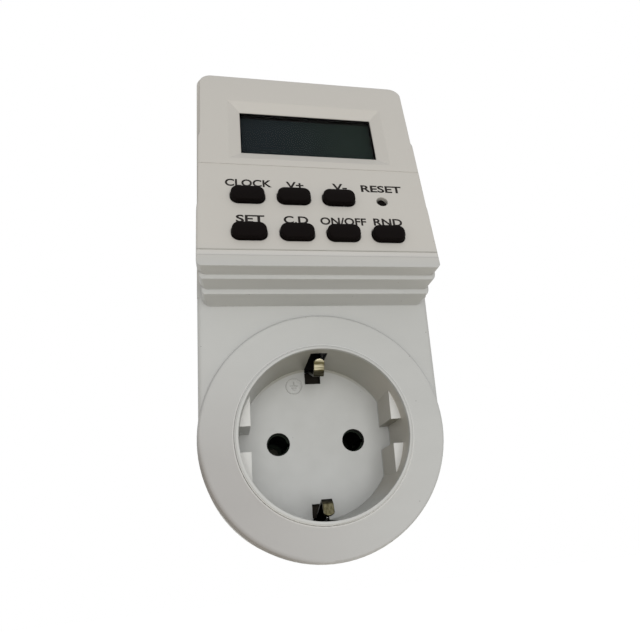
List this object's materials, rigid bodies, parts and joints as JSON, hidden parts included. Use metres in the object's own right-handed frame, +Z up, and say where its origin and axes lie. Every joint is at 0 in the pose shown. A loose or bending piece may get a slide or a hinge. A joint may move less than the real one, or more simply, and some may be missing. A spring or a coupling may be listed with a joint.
{
  "type": "plug-in timer switch",
  "caption": "Plug-in digital timer switch: leaning display and key panel over a round Schuko socket, with a Schuko plug on its back.",
  "frame": {"origin": "centre between the plug's two pins, on the end face of the plug boss", "axes": "+Z up the case, +Y into the wall along the plug's pins, so the display and the socket face -Y; +X to the right as seen from the front"},
  "size_m": [0.0568, 0.0736, 0.1235],
  "materials": {
    "cover_plastic": "matt",
    "socket_plastic": "satin",
    "key_plastic": "matt",
    "nickel_brass": "nickel plated",
    "brass": "bare",
    "steel": "zinc plated",
    "live_sheath": "satin",
    "switched_sheath": "satin",
    "neutral_sheath": "satin",
    "circuit_board": "solder mask",
    "relay_plastic": "satin",
    "capacitor_case": "satin",
    "capacitor_sleeve": "gloss",
    "black_resin": "satin",
    "resistor_lacquer": "gloss",
    "varistor_lacquer": "gloss",
    "battery_sleeve": "gloss",
    "cable_sheath": "satin",
    "lcd_cell": "polished",
    "clear_window": "polished",
    "frame_plastic": "matt",
    "conductive_rubber": "matt",
    "silicone": "matt"
  },
  "bodies": {
    "case": {"front_cover": "cover_plastic", "back_cover": "cover_plastic", "socket_insert": "socket_plastic", "live_pin": "nickel_brass", "neutral_pin": "nickel_brass", "live_terminal": "brass", "live_contact": "brass", "neutral_contact": "brass", "neutral_terminal": "brass", "earth_bracket": "nickel_brass", "earth_clip_top": "nickel_brass", "earth_clip_bottom": "nickel_brass", "earth_rivets": "nickel_brass", "live_wire": "live_sheath", "switched_wire": "switched_sheath", "neutral_wire": "neutral_sheath", "power_board": "circuit_board", "relay": "relay_plastic", "mains_capacitor": "capacitor_case", "smoothing_capacitor": "capacitor_sleeve", "rectifier_diodes": "black_resin", "dropper_resistors": "resistor_lacquer", "surge_varistor": "varistor_lacquer", "backup_battery": "battery_sleeve", "battery_tabs": "steel", "relay_driver": "black_resin", "board_screws": "steel", "ribbon_cable": "cable_sheath", "display_board": "circuit_board", "controller_chip": "black_resin", "clock_crystal": "steel", "lcd_glass": "lcd_cell", "lcd_frame": "frame_plastic", "zebra_strips": "conductive_rubber", "display_window": "clear_window", "key_mat": "silicone", "display_screws": "steel", "case_screws": "steel"},
    "clock_key": {"clock_key": "key_plastic"},
    "up_key": {"up_key": "key_plastic"},
    "down_key": {"down_key": "key_plastic"},
    "set_key": {"set_key": "key_plastic"},
    "countdown_key": {"countdown_key": "key_plastic"},
    "on_off_key": {"on_off_key": "key_plastic"},
    "random_key": {"random_key": "key_plastic"},
    "reset_key": {"reset_key": "key_plastic"}
  },
  "joints": [
    {"name": "clock_key_press", "type": "slide", "parent": "case", "child": "clock_key", "axis": [0, 0.9763, -0.2164], "range_m": [0, 0.0008], "stiffness_N_per_m": 1500, "springref_m": -0.0002},
    {"name": "up_key_press", "type": "slide", "parent": "case", "child": "up_key", "axis": [0, 0.9763, -0.2164], "range_m": [0, 0.0008], "stiffness_N_per_m": 1500, "springref_m": -0.0002},
    {"name": "down_key_press", "type": "slide", "parent": "case", "child": "down_key", "axis": [0, 0.9763, -0.2164], "range_m": [0, 0.0008], "stiffness_N_per_m": 1500, "springref_m": -0.0002},
    {"name": "set_key_press", "type": "slide", "parent": "case", "child": "set_key", "axis": [0, 0.9763, -0.2164], "range_m": [0, 0.0008], "stiffness_N_per_m": 1500, "springref_m": -0.0002},
    {"name": "countdown_key_press", "type": "slide", "parent": "case", "child": "countdown_key", "axis": [0, 0.9763, -0.2164], "range_m": [0, 0.0008], "stiffness_N_per_m": 1500, "springref_m": -0.0002},
    {"name": "on_off_key_press", "type": "slide", "parent": "case", "child": "on_off_key", "axis": [0, 0.9763, -0.2164], "range_m": [0, 0.0008], "stiffness_N_per_m": 1500, "springref_m": -0.0002},
    {"name": "random_key_press", "type": "slide", "parent": "case", "child": "random_key", "axis": [0, 0.9763, -0.2164], "range_m": [0, 0.0008], "stiffness_N_per_m": 1500, "springref_m": -0.0002},
    {"name": "reset_key_press", "type": "slide", "parent": "case", "child": "reset_key", "axis": [0, 0.9763, -0.2164], "range_m": [0, 0.0008], "stiffness_N_per_m": 1500, "springref_m": -0.0002}
  ]
}
